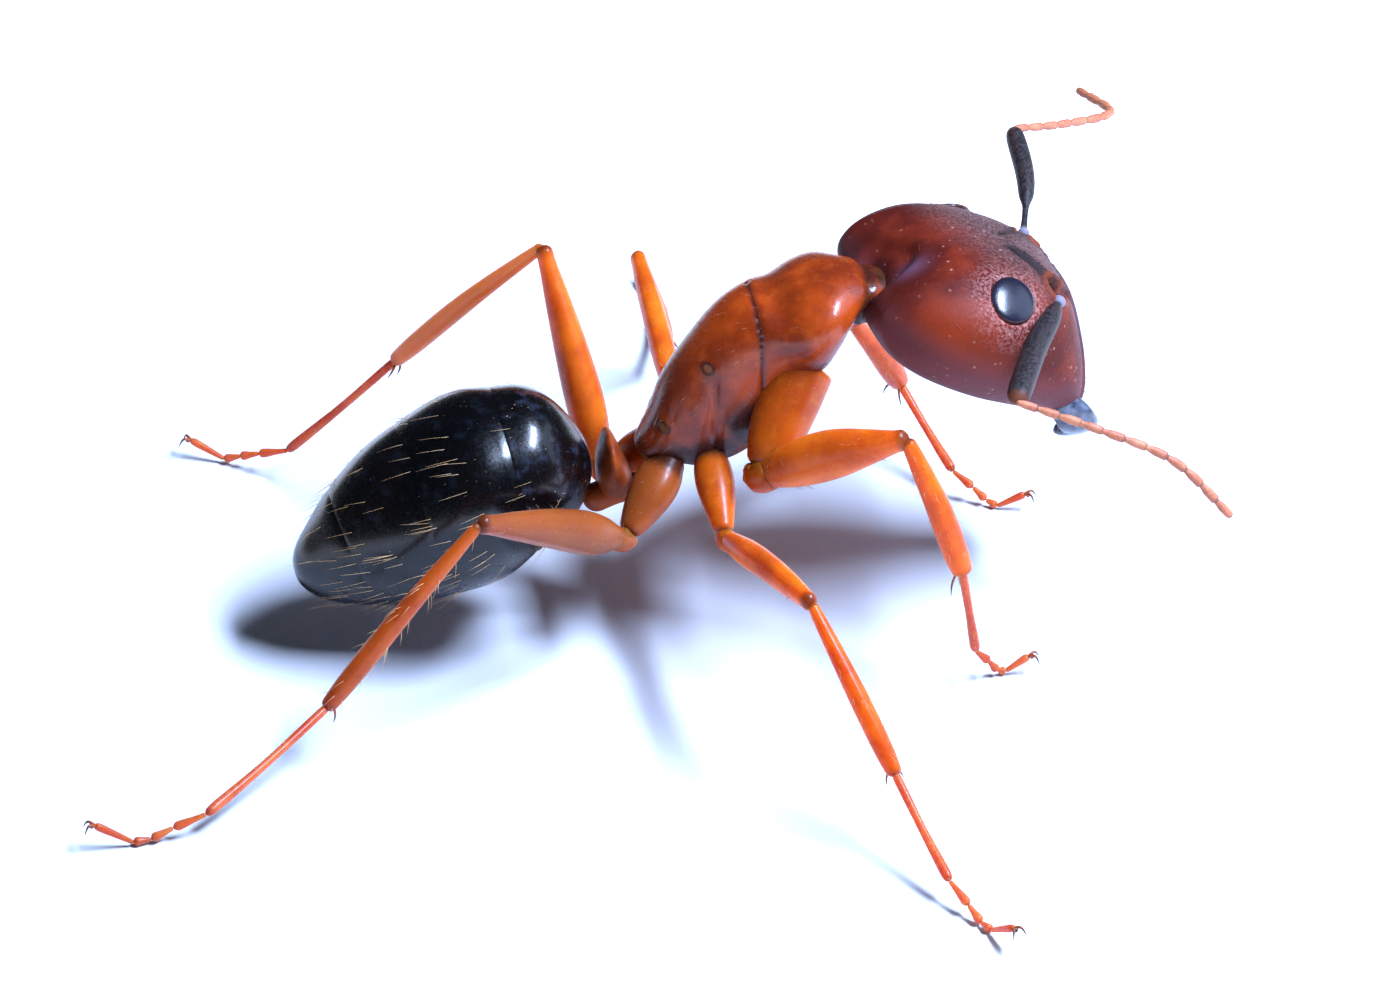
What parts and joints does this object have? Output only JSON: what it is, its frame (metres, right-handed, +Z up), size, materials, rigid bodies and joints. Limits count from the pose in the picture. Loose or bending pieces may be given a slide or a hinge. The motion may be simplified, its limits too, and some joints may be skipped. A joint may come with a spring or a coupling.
{
  "type": "carpenter ant figure",
  "caption": "Life-size still model of a carpenter ant major worker standing alert: big raised head, elbowed antennae, arched thorax, narrow waist and swollen gaster on long spread legs.",
  "frame": {"origin": "middle of the bounding box, on the floor that the feet stand on", "axes": "+X is the way the ant faces, +Y is its left side, +Z is up"},
  "size_m": [0.018, 0.0208, 0.0063],
  "materials": {
    "head_capsule": "satin, finely granular",
    "thorax": "glossy",
    "waist_scale": "glossy",
    "gaster": "high gloss",
    "eyes": "high gloss",
    "mandibles": "glossy",
    "antenna_scapes": "satin",
    "antenna_whips": "satin",
    "leg_uppers": "glossy, slightly translucent",
    "leg_shins": "glossy",
    "feet": "satin"
  },
  "bodies": {
    "root": {"head": "head_capsule", "eye_left": "eyes", "eye_right": "eyes", "mandible_left": "mandibles", "mandible_right": "mandibles", "antenna_right_scape": "antenna_scapes", "antenna_right_flagellum_1": "antenna_whips", "antenna_right_flagellum_2": "antenna_whips", "antenna_right_flagellum_3": "antenna_whips", "antenna_left_scape": "antenna_scapes", "antenna_left_flagellum_1": "antenna_whips", "antenna_left_flagellum_2": "antenna_whips", "antenna_left_flagellum_3": "antenna_whips", "propodeum": "thorax", "mesothorax": "thorax", "pronotum": "thorax", "neck": "thorax", "petiole": "waist_scale", "gaster_4": "gaster", "gaster_3": "gaster", "gaster_2": "gaster", "gaster_1": "gaster", "coxa_fore_right": "leg_uppers", "trochanter_fore_right": "leg_uppers", "femur_fore_right": "leg_uppers", "tibia_fore_right": "leg_shins", "basitarsus_fore_right": "feet", "tarsus_fore_right": "feet", "coxa_fore_left": "leg_uppers", "trochanter_fore_left": "leg_uppers", "femur_fore_left": "leg_uppers", "tibia_fore_left": "leg_shins", "basitarsus_fore_left": "feet", "tarsus_fore_left": "feet", "coxa_middle_right": "leg_uppers", "trochanter_middle_right": "leg_uppers", "femur_middle_right": "leg_uppers", "tibia_middle_right": "leg_shins", "basitarsus_middle_right": "feet", "tarsus_middle_right": "feet", "coxa_middle_left": "leg_uppers", "trochanter_middle_left": "leg_uppers", "femur_middle_left": "leg_uppers", "tibia_middle_left": "leg_shins", "basitarsus_middle_left": "feet", "tarsus_middle_left": "feet", "coxa_hind_right": "leg_uppers", "trochanter_hind_right": "leg_uppers", "femur_hind_right": "leg_uppers", "tibia_hind_right": "leg_shins", "basitarsus_hind_right": "feet", "tarsus_hind_right": "feet", "coxa_hind_left": "leg_uppers", "trochanter_hind_left": "leg_uppers", "femur_hind_left": "leg_uppers", "tibia_hind_left": "leg_shins", "basitarsus_hind_left": "feet", "tarsus_hind_left": "feet"}
  },
  "joints": []
}
